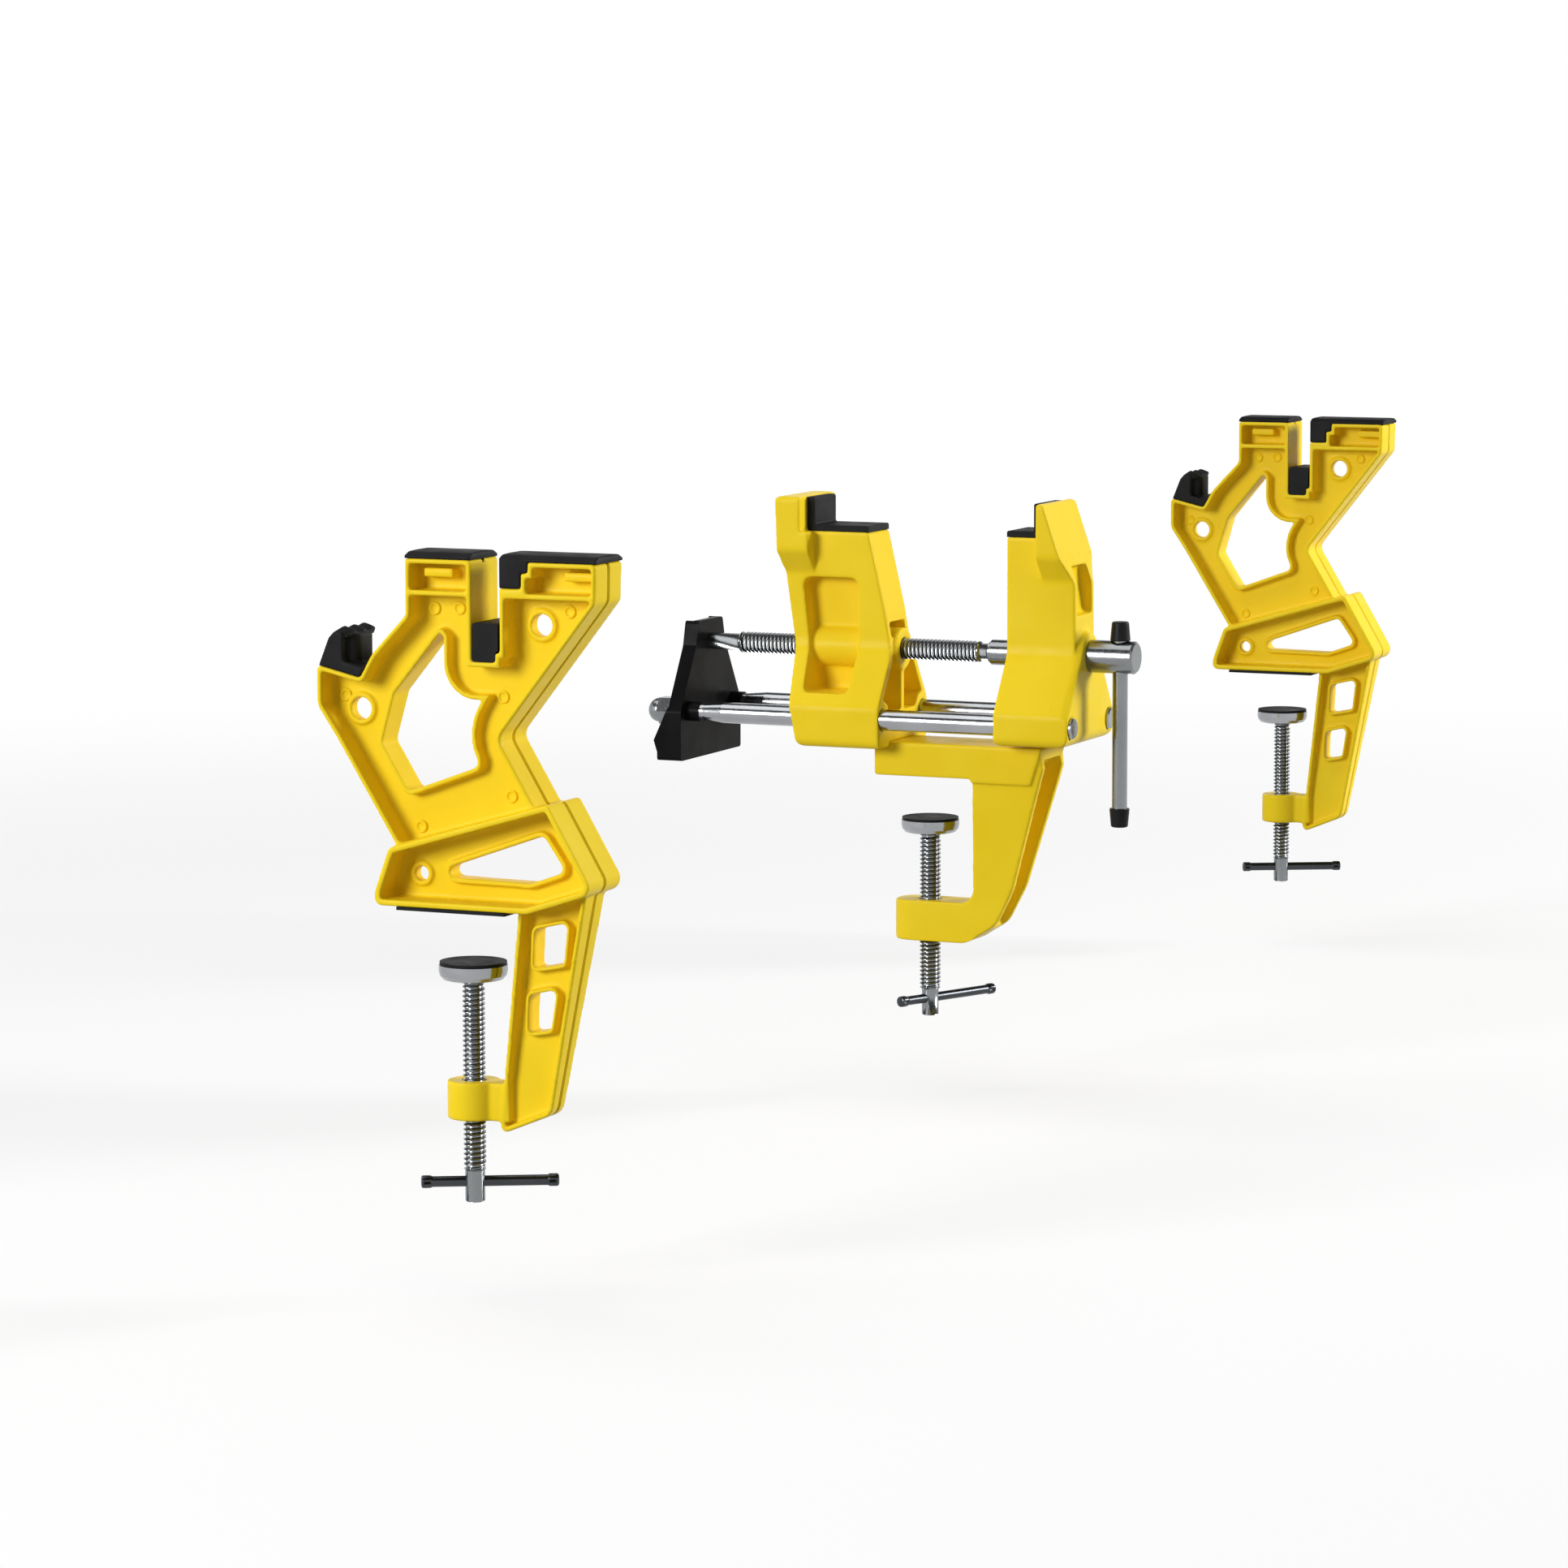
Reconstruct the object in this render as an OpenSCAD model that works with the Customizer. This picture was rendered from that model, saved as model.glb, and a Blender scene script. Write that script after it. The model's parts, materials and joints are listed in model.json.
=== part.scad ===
// Ski tuning vise set for a bench edge: a centre vise with a moving front jaw, and two end supports.
// Millimetres, +Z up. Z = 0 is the bench's top face, and +Y runs from the bench's edge into the bench.
// The origin lies on the axis of the centre vise's clamp screw, in the bench's top face.

/* [Setting on the bench] */
// Distance from the centre vise to the left support
left_x = 488; // [250:1:900]
// Distance from the centre vise to the right support
right_x = 514.5; // [250:0.5:900]
// Thickness of the bench board that the clamps grip
board_t = 21; // [8:0.5:50]

/* [Support casting] */
// Height of a support's top over the bench
support_h = 140.5; // [136:0.5:160]
// Width of the upper body, along the bench edge
body_t = 24.7; // [18:0.1:32]
// Width of the belt that sits on the bench edge
belt_t = 30; // [26:0.5:40]
// Width of the leg at the belt
leg_t = 17.7; // [16:0.1:24]
// Width of the leg at its lower end
leg_low_t = 11; // [9:0.1:14]
// Thickness of the small window's rim in the belt
belt_window_t = 9.5; // [6:0.5:14]
// Thickness of the web between the rims
web_t = 3; // [2:0.5:6]
// Thickness of the rim round the upper body and the leg
rim_w = 2; // [1.5:0.1:2.6]
// Thickness of the belt's rim
belt_rim_w = 2.5; // [2.2:0.1:3]
// Width of the raised rim round the big window
window_rim_t = 14; // [6:0.5:18]
// Width of the slot for a ski's edge
slot_w = 12.6; // [10:0.1:15]
// Depth of the slot
slot_depth = 40.2; // [30:0.1:44]
// Diameter of the two large holes in the web
web_hole_d = 9; // [5:0.5:11]
// Diameter of the small hole in the belt
belt_hole_d = 6; // [3:0.5:7]
// Thickness of the pad under the belt
bench_pad_t = 1.3; // [0.8:0.1:2.5]
// Thickness of the rubber pads on the support's top
top_pad_t = 3; // [2:0.1:5]

/* [Bench clamps] */
// Distance from the bench edge to the supports' clamp screws
end_screw_y = 24.4; // [22:0.1:30]
// Distance from the bench edge to the centre clamp screw
centre_screw_y = 27.2; // [22:0.1:32]
// Thread diameter of the supports' clamp screws
end_screw_d = 9; // [8:0.5:10]
// Thread diameter of the centre clamp screw
centre_screw_d = 10; // [8:0.5:11]
// Diameter of a clamp screw's plain lower end
plain_d = 8; // [6:0.5:8]
// Length of the plain lower end
plain_l = 12.8; // [10:0.1:20]
// Length of the supports' clamp screws below the disc
end_screw_l = 89.9; // [86:0.1:110]
// Length of the centre clamp screw below the disc
centre_screw_l = 88.3; // [84:0.1:110]
// Diameter of a clamping disc
disc_d = 27.8; // [20:0.1:32]
// Height of a clamping disc
disc_h = 6.4; // [6:0.1:10]
// Thickness of the pad on a clamping disc
disc_pad_t = 1.3; // [0.8:0.1:2.5]
// Diameter of a clamp screw's cross bar
cross_bar_d = 4.4; // [3:0.1:5]
// Length of a support's cross bar
end_bar_l = 55.4; // [45:0.1:70]
// Length of the centre clamp's cross bar
centre_bar_l = 62; // [50:0.1:80]
// Distance from a clamp screw's lower end to its cross bar
cross_bar_up = 8.2; // [6:0.1:10]
// Turn of the supports' cross bars, seen from above
end_bar_turn = 28.2; // [-90:0.1:90]
// Turn of the centre clamp's cross bar, seen from above
centre_bar_turn = 65.7; // [-90:0.1:90]

/* [Centre vise] */
// Width of the base block along the bench edge
base_t = 33; // [30:0.5:36]
// Height of the base block over the bench
base_h = 16; // [14:0.1:17]
// Width of the frame's leg at the base block
frame_t = 29.6; // [26:0.1:32]
// Width of the frame's leg at its arm
arm_t = 20.4; // [18:0.1:24]
// Thickness of the leg's side walls
frame_wall = 4; // [3:0.5:6]
// Height of the jaws' ledges over the bench
ledge_h = 115.3; // [110:0.1:125]
// Height of the jaws' heads over their ledges
head_h = 16.7; // [10:0.1:24]
// Half width of a jaw's column
column_x = 13; // [11:0.5:16]
// Half width of a jaw's head
head_x = 22; // [18:0.5:30]
// Half width of a jaw's foot
foot_x = 31; // [31:0.5:36]
// Width of the moving jaw's ledge
front_ledge_w = 17.8; // [14:0.1:19]
// Width of a ski clamped in the jaws
ski_w = 112; // [100:0.5:114]
// Thickness of the rubber on a ledge
ledge_pad_t = 3; // [2:0.1:5]
// Thickness of the rubber on a jaw's head
head_pad_t = 4.2; // [3:0.1:6]

/* [Screw and rods of the centre vise] */
// Height of the main spindle's axis over the bench
spindle_z = 59.3; // [56:0.1:66]
// Thread diameter of the main spindle
spindle_d = 10; // [8:0.5:12]
// Diameter of the hub that holds the handle bar
hub_d = 15.5; // [14:0.1:18]
// Length of the hub
hub_l = 22.8; // [20:0.1:28]
// Diameter of the guide rods
rod_d = 10; // [8:0.5:11]
// Distance of a guide rod from the middle
rod_x = 25; // [21:0.5:25]
// Height of the guide rods over the bench
rod_z = 27.4; // [26:0.1:30]
// Distance from the bench edge to the rear bracket
bracket_y = 142.5; // [138:0.5:160]
// Thickness of the rear bracket's sheet
bracket_t = 3; // [2:0.5:4]
// Diameter of the handle bar
handle_d = 7.2; // [5:0.1:8]
// Length of the handle bar between its caps
handle_l = 79.4; // [60:0.1:110]

/* [Fits] */
// Gap all round a shaft that turns or slides in its hole
run_gap = 0.05; // [0.03:0.01:0.1]
// End gap between pieces that move on each other
end_gap = 0.1; // [0.05:0.05:0.3]

/* [Hidden] */
$fn = 64;

// Angle between the points of an arc
arc_step = 15;
paint = "gold";
steel = "silver";
rubber = "#202020";

// Heights and widths on the support casting
boss_top = -69;
boss_h = 15.5;
leg_low_z = -89.8;
boss_r = 10.8;
slot_y = 5.6;
slot_floor = support_h - slot_depth;
slot_step_h = 3.8;
slot_step_w = 2;
block_end_y = 47.3;
body_front_y = -36.5;
pad_step_y = -3.9;
pad_foot_z = support_h - 10.6;
pad_shelf_z = support_h - 4.4;
pad_shelf_y = pad_step_y - 3;
pocket_floor_z = support_h - 12.6;
rib_w = 2;
hook_seat = [[68, 92.1], [87.3, 96.6]];
belt_low = bench_pad_t;

// Heights on the centre vise
arm_top = -60.5;
arm_h = 19.5;
head_top = ledge_h + head_h;
front_face_y = -54.5;
ledge_end_y = -16.7;
head_face_y = ledge_end_y - front_ledge_w;
rear_pad_y = head_face_y + head_pad_t + ski_w;
rear_head_y = rear_pad_y + head_pad_t;
foot_low = base_h + 2;
foot_top = foot_low + 15;
washer_t = 1.5;
collar_l = 6.5;
neck_r = spindle_d / 2 - 1;
stud_r = rod_d / 2 - 1.5;
cap_l = 9;
cap_depth = 7;
hub_bar_y = front_face_y - 14.7;
lip_h = 1.8;
ball_h = 2.8;

// Unit vector along v
function unit(v) = v / norm(v);
// Left-hand normal of the edge from a to b
function left_of(a, b) = let (u = unit([b[0] - a[0], b[1] - a[1]])) [-u[1], u[0]];
// Positive where the outline turns left at b
function turn(a, b, c) = (b[0] - a[0]) * (c[1] - b[1]) - (b[1] - a[1]) * (c[0] - b[0]);

// Outline moved inwards by d, with its corner radii changed to suit.
// Points are [y, z, radius], counter-clockwise.
function inset(pts, d) = [
    for (i = [0 : len(pts) - 1])
        let (
            n = len(pts),
            a = pts[(i + n - 1) % n],
            b = pts[i],
            c = pts[(i + 1) % n],
            n1 = left_of(a, b),
            n2 = left_of(b, c),
            m = (n1 + n2) * d / (1 + n1 * n2),
            r = b[2] == 0 ? 0 : max(turn(a, b, c) > 0 ? b[2] - d : b[2] + d, 0)
        )
        [b[0] + m[0], b[1] + m[1], r]
];

// Outline with each corner turned into an arc of its own radius
function rounded(pts) = [
    for (i = [0 : len(pts) - 1])
        let (
            n = len(pts),
            b = [pts[i][0], pts[i][1]],
            a = [pts[(i + n - 1) % n][0], pts[(i + n - 1) % n][1]],
            c = [pts[(i + 1) % n][0], pts[(i + 1) % n][1]],
            r = pts[i][2],
            u = unit(a - b),
            v = unit(c - b),
            half = acos(max(min(u * v, 1), -1)) / 2,
            start = b + u * r / tan(half),
            centre = b + unit(u + v) * r / sin(half),
            sweep = sign(turn(a, b, c)) * (180 - 2 * half),
            steps = max(1, round(abs(sweep) / arc_step))
        )
        for (k = [0 : r > 0 ? steps : 0])
            let (t = sweep * k / steps, w = start - centre)
            r > 0 ? centre + [w[0] * cos(t) - w[1] * sin(t), w[0] * sin(t) + w[1] * cos(t)] : b
];

// Sharp points along an arc from a to b that bulges by s to the right, ends left out
function bow(a, b, s, steps = 6) =
    let (
        chord = norm(b - a),
        r = (chord * chord / 4 + s * s) / (2 * s),
        mid = (a + b) / 2,
        out = -left_of(a, b),
        centre = mid + out * (s - r),
        start = a - centre,
        sweep = 2 * asin(chord / (2 * r))
    )
    [for (k = [1 : steps - 1])
        let (c = cos(sweep * k / steps), s = sin(sweep * k / steps))
        [centre[0] + start[0] * c - start[1] * s, centre[1] + start[0] * s + start[1] * c, 0]];

// Points given in the bench edge's frame stand in the model's frame
module from_edge() { translate([0, -centre_screw_y, 0]) children(); }
// Side view in Y and Z, made solid to both sides of X = 0
module side_plate(t) { rotate([90, 0, 90]) linear_extrude(t, center = true) children(); }
// Front view in X and Z, made solid from y0 to y1
module face_plate(y0, y1) { translate([0, y1, 0]) rotate([90, 0, 0]) linear_extrude(y1 - y0) children(); }
// Round bar along Y
module y_bar(r, y0, y1) { translate([0, y0, 0]) rotate([-90, 0, 0]) cylinder(r = r, h = y1 - y0); }
// Turned piece along Y, from a profile of [radius, y]
module y_turned(pts) { rotate([-90, 0, 0]) rotate_extrude() polygon(pts); }

// Room in the front view that is w0 wide at height z0 and w1 wide at height z1 and below
module tapered(w0, z0, w1, z1) {
    face_plate(-80, 80) polygon([
        [-w1 / 2, z1 - 20], [w1 / 2, z1 - 20], [w1 / 2, z1], [w0 / 2, z0], [w0 / 2, z0 + 30],
        [-w0 / 2, z0 + 30], [-w0 / 2, z0], [-w1 / 2, z1]
    ]);
}

// Side views of the support casting
body_side = [
    [-10.6, 41.5, 0], [51.5, 24.2, 0], [78.7, 67.7, 4], [87.3, 80.2, 5],
    [hook_seat[1][0], hook_seat[1][1], 1.5],
    [hook_seat[0][0], hook_seat[0][1], 1], [62.6, 101.7, 12], [block_end_y, support_h - 22.6, 3],
    [block_end_y, support_h, 1], [slot_y + slot_w, support_h, 1], [slot_y + slot_w, slot_floor, 0],
    [slot_y + slot_step_w, slot_floor, 0], [slot_y + slot_step_w, slot_floor + slot_step_h, 0],
    [slot_y, slot_floor + slot_step_h, 0], [slot_y, pad_foot_z, 0], [pad_step_y, pad_foot_z, 0],
    [pad_step_y, pad_shelf_z, 0], [pad_shelf_y, pad_shelf_z, 0], [pad_shelf_y, support_h, 0.5],
    [body_front_y, support_h, 1.5], [body_front_y + 0.3, support_h - 15.5, 4], [6.8, 70.3, 5]
];
window_side = concat(
    [
        [17.4, 58.3, 3], [49.2, 46.8, 2.5], [61, 65.8, 3], [55.2, 86, 3], [34.6, 111, 0.8],
        [33, 109, 0.8], [33.1, 98.9, 0]
    ],
    bow([33.1, 98.9], [16.2, 84.7], -5.1),
    [[16.2, 84.7, 0]],
    bow([16.2, 84.7], [19.2, 61.5], -3.1)
);
belt_side = [
    [-6.5, belt_low, 0], [61, belt_low, 3], [60.8, 7.2, 4], [54.4, 24.8, 3], [-16.3, 45.5, 2], [-36.6, 11, 5]
];
belt_window = [[-3.5, 12.15, 2], [43.7, 12.95, 2.5], [-9.4, 31.6, 2.5], [-19, 17.65, 2.5]];
leg_side = [
    [-12.7, -80.2, 6], [10.7, leg_low_z, 2.5], [0.1, 0, 0], [0.1, belt_low + 2, 0], [-6.2, belt_low + 2, 0],
    [-30.5, belt_low + 9.8, 0]
];
upper_leg_window = [[-18.2, -19.2, 1.5], [-4.9, -21.8, 1.5], [-5.6, -6, 2], [-20, -2.6, 2]];
lower_leg_window = [[-12.4, -46, 2], [-2.4, -47.8, 1.5], [-3, -32.4, 2], [-15, -29.6, 2]];
web_holes = [[72.3, 78.7], [-8.5, support_h - 25.6]];
belt_hole = [45.8, 13.4];
// Raised steps in the two pockets beside the slot: lower front corner and size
pocket_steps = [[body_front_y + 3, support_h - 7.5], [slot_y + slot_w + 10, support_h - 7.5]];
pocket_step = [13, 3.6];
// Ribs below the two pockets beside the slot
pocket_ribs = [
    [[body_front_y + 1, pocket_floor_z], [slot_y, pocket_floor_z]],
    [[slot_y + slot_w, pocket_floor_z], [block_end_y - 1, pocket_floor_z]]
];

module ring(pts, w) {
    difference() {
        polygon(rounded(pts));
        polygon(rounded(inset(pts, w)));
    }
}
module outer_ring(pts, w) {
    difference() {
        polygon(rounded(inset(pts, -w)));
        polygon(rounded(pts));
    }
}
module window_cuts() {
    for (w = [window_side, belt_window, upper_leg_window, lower_leg_window]) polygon(rounded(w));
    for (p = web_holes) translate(p) circle(d = web_hole_d);
    translate(belt_hole) circle(d = belt_hole_d);
}

// Aluminium casting: thin web, rims round every outline and window, and a threaded boss for the clamp screw
module casting() {
    color(paint) from_edge() {
        difference() {
            union() {
                side_plate(web_t) difference() {
                    union() {
                        polygon(rounded(body_side));
                        polygon(rounded(belt_side));
                        polygon(rounded(leg_side));
                    }
                    window_cuts();
                }
                side_plate(body_t) difference() {
                    union() {
                        ring(body_side, rim_w);
                        for (r = pocket_ribs) translate([r[0][0], r[0][1] - rib_w])
                            square([r[1][0] - r[0][0], rib_w]);
                    }
                    window_cuts();
                }
                side_plate(belt_t) ring(belt_side, belt_rim_w);
                intersection() {
                    side_plate(leg_t) difference() {
                        ring(leg_side, rim_w);
                        window_cuts();
                    }
                    tapered(leg_t, 0, leg_low_t, leg_low_z);
                }
                side_plate(window_rim_t) outer_ring(window_side, rim_w);
                side_plate(belt_window_t) outer_ring(belt_window, rim_w);
                side_plate(leg_low_t) {
                    outer_ring(upper_leg_window, rim_w * 0.75);
                    outer_ring(lower_leg_window, rim_w * 0.75);
                }
                side_plate(web_t * 2) {
                    for (p = web_holes) translate(p) difference() {
                        circle(d = web_hole_d + 2 * rim_w);
                        circle(d = web_hole_d);
                    }
                    translate(belt_hole) difference() {
                        circle(d = belt_hole_d + 2 * rim_w);
                        circle(d = belt_hole_d);
                    }
                }
                side_plate(web_t * 5) for (p = pocket_steps) translate(p) square(pocket_step);
                translate([0, 0, boss_top - boss_h]) linear_extrude(boss_h) {
                    translate([0, end_screw_y]) circle(boss_r);
                    translate([-leg_low_t / 2, 6]) square([leg_low_t, end_screw_y - 6]);
                }
            }
            translate([0, end_screw_y, boss_top - boss_h - 1])
                cylinder(d = end_screw_d + 2 * run_gap, h = boss_h + 2);
        }
    }
}

// Rubber on the front block, with a foot that hooks over the slot's edge and a crowned top
module front_pad() {
    top = support_h + top_pad_t;
    color(rubber) from_edge() intersection() {
        side_plate(body_t) polygon(rounded([
            [slot_y, pad_foot_z, 0], [slot_y, top, 1.2], [body_front_y - 0.4, top, 1.5],
            [body_front_y - 0.4, support_h, 0], [pad_shelf_y, support_h, 0], [pad_shelf_y, pad_shelf_z, 0],
            [pad_step_y, pad_shelf_z, 0], [pad_step_y, pad_foot_z, 0]
        ]));
        pad_crown(top);
    }
}
// Rubber strip on the rear block
module rear_pad() {
    top = support_h + top_pad_t;
    color(rubber) from_edge() intersection() {
        side_plate(body_t) polygon(rounded([
            [slot_y + slot_w, support_h, 0], [block_end_y, support_h, 0], [block_end_y, top, 1.5],
            [slot_y + slot_w, top, 1.2]
        ]));
        pad_crown(top);
    }
}
// Room below a crowned top, from X and Z
module pad_crown(top) {
    face_plate(body_front_y - 2, block_end_y + 2) polygon(rounded([
        [-body_t / 2, pad_foot_z - 1, 0], [body_t / 2, pad_foot_z - 1, 0], [body_t / 2, top - 0.6, 1],
        [0, top + 0.4, 30], [-body_t / 2, top - 0.6, 1]
    ]));
}
// Rubber block in the bottom of the slot
module slot_rubber() {
    color(rubber) from_edge() side_plate(body_t - 2) polygon(rounded([
        [slot_y + slot_step_w, slot_floor, 0], [slot_y + slot_w, slot_floor, 0],
        [slot_y + slot_w, slot_floor + 4.5, 0], [slot_y + slot_w - 0.5, slot_floor + 4.5, 0],
        [slot_y + slot_w - 0.5, slot_floor + 15.6, 1], [slot_y + 1.1, slot_floor + 15.6, 1],
        [slot_y + 1.1, slot_floor + 4.5, 0], [slot_y + slot_step_w, slot_floor + 4.5, 0]
    ]));
}
// Rubber on the hook seat: a floor with a lip, an upright of full width and a narrower rounded nose
hook_top = 110.9;
nose_x = 8;
nose_y = 71;
hook_outline = [
    [hook_seat[0][0] - 1, hook_seat[0][1] - 3, 0], [hook_seat[1][0] - 1, hook_seat[1][1] - 3, 0],
    [hook_seat[1][0] - 1, hook_seat[1][1], 0], [81.8, hook_top - 3.1, 3], [78.2, hook_top, 2],
    [75.5, hook_top - 1.1, 0.5], [75.5, 98.5, 1.5], [66.6, 96.2, 1], [62.9, 101.4, 0.3], [60, 99, 0]
];
nose_side = [[60, 92], [80, 92], [78, hook_top - 0.2], [69, hook_top - 2.9], [60, hook_top - 5]];
module hook_rubber() {
    color(rubber) from_edge() difference() {
        union() {
            side_plate(body_t) polygon(rounded(hook_outline));
            intersection() {
                side_plate(2 * nose_x) polygon(nose_side);
                translate([0, 0, hook_seat[0][1] - 3]) linear_extrude(hook_top - hook_seat[0][1] + 4)
                    polygon(rounded([
                        [-nose_x, nose_y, 4], [nose_x, nose_y, 4], [nose_x, 77, 0], [-nose_x, 77, 0]
                    ]));
            }
        }
        side_plate(body_t + 2) polygon(rounded(body_side));
    }
}
// Thin pad between the belt and the bench, clear of the leg
module bench_pad() {
    pad_start = 2.8;
    pad_end = 51;
    color(rubber) from_edge() translate([-belt_t / 2, pad_start, 0])
        cube([belt_t, pad_end - pad_start, bench_pad_t]);
}

// Threaded clamp screw, with a ball end held in the disc and a cross hole near its lower end
module clamp_screw(d, l) {
    disc_low = -board_t - disc_pad_t - disc_h;
    r = d / 2;
    color(steel) difference() {
        rotate_extrude() polygon([
            [0, disc_low - l], [plain_d / 2 - 0.5, disc_low - l], [plain_d / 2, disc_low - l + 0.5],
            [plain_d / 2, disc_low - l + plain_l], [r - 0.6, disc_low - l + plain_l],
            [r, disc_low - l + plain_l + 0.6], [r, disc_low - end_gap - 0.8], [r - 0.8, disc_low - end_gap],
            [r - 1.5, disc_low - end_gap], [r - 1.5, disc_low + lip_h + end_gap],
            [r, disc_low + lip_h + end_gap], [r, disc_low + lip_h + ball_h - 0.6],
            [r - 0.6, disc_low + lip_h + ball_h], [0, disc_low + lip_h + ball_h]
        ]);
        translate([0, 0, disc_low - l + cross_bar_up]) rotate([90, 0, 0])
            cylinder(d = cross_bar_d + 2 * run_gap, h = 3 * d, center = true);
    }
}
// Pressed steel disc that swivels on the screw's end
module clamp_disc(d) {
    disc_low = -board_t - disc_pad_t - disc_h;
    r = d / 2;
    color(steel) rotate_extrude() polygon([
        [r - 1.5 + run_gap, disc_low], [disc_d / 2 - 4, disc_low], [disc_d / 2 - 1.6, disc_low + 0.7],
        [disc_d / 2 - 0.4, disc_low + 2.2], [disc_d / 2, disc_low + 4], [disc_d / 2, disc_low + disc_h],
        [0, disc_low + disc_h], [0, disc_low + lip_h + ball_h + end_gap],
        [r + run_gap, disc_low + lip_h + ball_h + end_gap], [r + run_gap, disc_low + lip_h],
        [r - 1.5 + run_gap, disc_low + lip_h]
    ]);
}
// Pad on the disc, against the board's lower face
module disc_pad() {
    color(rubber) translate([0, 0, -board_t - disc_pad_t]) cylinder(d = disc_d - 0.8, h = disc_pad_t);
}
// Cross bar with upset ends, set off its middle as it lies in use
module cross_bar(bar_l, screw_l, off) {
    r = cross_bar_d / 2;
    up = r + 0.45;
    head = 4.2;
    color(steel) translate([0, off, -board_t - disc_pad_t - disc_h - screw_l + cross_bar_up])
        for (m = [0, 1]) mirror([0, m, 0]) y_turned([
            [0, 0], [r, 0], [r, bar_l / 2 - head - 0.8], [up, bar_l / 2 - head], [up, bar_l / 2 - 0.7],
            [up - 0.7, bar_l / 2], [0, bar_l / 2]
        ]);
}
module at_end_screw() {
    translate([0, end_screw_y - centre_screw_y, 0]) rotate([0, 0, end_bar_turn]) children();
}
module at_centre_screw() { rotate([0, 0, centre_bar_turn]) children(); }

// Side view of the clamp frame: leg, arm and the base block's front
frame_side = [
    [-36, 6, 2], [-19.2, -53, 12], [-10.4, -70.5, 12], [5, arm_top - arm_h, 14],
    [centre_screw_y, arm_top - arm_h, 0],
    [centre_screw_y, arm_top, 0], [1.2, arm_top, 7], [0, 0, 0], [0, base_h - 2, 0], [-34.6, base_h - 2, 0]
];
block_end = 49.5;
base_side = [
    [-30.3, -1.8, 1], [0.3, -1.8, 0.5], [0.3, 0, 0], [block_end, 0, 1], [block_end, base_h, 0.5],
    [-36, base_h, 1]
];
// Painted casting: base block on the bench, channelled leg and lower arm with the clamp's threaded end
module base_frame() {
    arm_end = centre_screw_y + 17;
    color(paint) from_edge() difference() {
        union() {
            side_plate(base_t) polygon(rounded(base_side));
            intersection() {
                side_plate(frame_t) polygon(rounded(frame_side));
                tapered(frame_t, 0, arm_t, arm_top);
            }
            intersection() {
                side_plate(arm_t) polygon(rounded([
                    [0, arm_top - arm_h, 0], [arm_end, arm_top - arm_h, 3], [arm_end, arm_top, 1.5],
                    [0, arm_top, 0]
                ]));
                translate([0, 0, arm_top - arm_h - 1]) linear_extrude(arm_h + 2) polygon(rounded([
                    [-arm_t / 2, -5, 0], [arm_t / 2, -5, 0], [arm_t / 2, arm_end, arm_t / 2 - 0.1],
                    [-arm_t / 2, arm_end, arm_t / 2 - 0.1]
                ]));
            }
        }
        intersection() {
            side_plate(frame_t) polygon(rounded([
                [-60, 12, 0], [-60, -90, 0], [-9, -90, 0], [-7, -68, 4], [-20, 0, 3], [-32, 9, 3],
                [-40, 12, 0]
            ]));
            tapered(frame_t - 2 * frame_wall, 0, arm_t - 2 * frame_wall, arm_top);
        }
        translate([0, centre_screw_y, arm_top - arm_h - 1])
            cylinder(d = centre_screw_d + 2 * run_gap, h = arm_h + 2);
    }
}

// Front views shared by both jaws: a wide foot with a narrow column, and the head over the column
function jaw_column(low) = [
    [-foot_x, low, 4], [foot_x, low, 4], [foot_x, foot_top, 5], [column_x, spindle_z + 1, 12],
    [column_x, head_top, 0], [-column_x, head_top, 0], [-column_x, spindle_z + 1, 12],
    [-foot_x, foot_top, 5]
];
jaw_head = [
    [-column_x, ledge_h - 30, 0], [column_x, ledge_h - 30, 0], [column_x, ledge_h - 20, 4],
    [head_x, ledge_h - 9, 5], [head_x, head_top, 2], [-head_x, head_top, 2], [-head_x, ledge_h - 9, 5],
    [-column_x, ledge_h - 20, 4]
];
// Moving jaw: bored for the spindle, and fixed on the two guide rods
module front_jaw() {
    color(paint) from_edge() difference() {
        intersection() {
            union() {
                face_plate(front_face_y - 1, head_face_y) polygon(rounded(jaw_head));
                face_plate(front_face_y - 1, ledge_end_y + 1) polygon(rounded(jaw_column(foot_low)));
            }
            side_plate(2 * foot_x + 2) polygon(rounded([
                [front_face_y, foot_low, 6], [ledge_end_y, foot_low, 3], [ledge_end_y, ledge_h, 1],
                [head_face_y, ledge_h, 0], [head_face_y, head_top, 1], [head_face_y - 3.7, head_top - 0.6, 2],
                [-51.1, 94, 3], [-51.4, spindle_z + 8, 4], [front_face_y, spindle_z - 4, 4]
            ]));
        }
        side_plate(19) polygon(rounded([[-60, 79, 0], [-47, 79, 2], [-44, 102, 2], [-60, 102, 0]]));
        translate([0, 0, spindle_z]) y_bar(spindle_d / 2 + run_gap, front_face_y - 2, ledge_end_y + 2);
        for (s = [-1, 1]) translate([s * rod_x, 0, rod_z])
            y_bar(rod_d / 2, front_face_y - 2, ledge_end_y + 2);
    }
}
// Rubber on a jaw: a pad on its ledge and a pad up its head, from the head's face at y0 to the ledge's end
module jaw_pad(y0, w, dir) {
    pad_top = ledge_h + ledge_pad_t;
    color(rubber) from_edge() side_plate(2 * column_x - 1) translate([y0, 0]) scale([dir, 1])
        polygon(rounded([
            [0, ledge_h, 0], [w, ledge_h, 0], [w, pad_top, 1], [head_pad_t, pad_top, 1],
            [head_pad_t, head_top - 0.5, 1.2], [0, head_top - 0.5, 0]
        ]));
}
module front_jaw_pad() { jaw_pad(head_face_y, front_ledge_w, 1); }
module rear_jaw_pad() { jaw_pad(rear_head_y, rear_head_y - rear_ledge_y, -1); }

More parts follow.
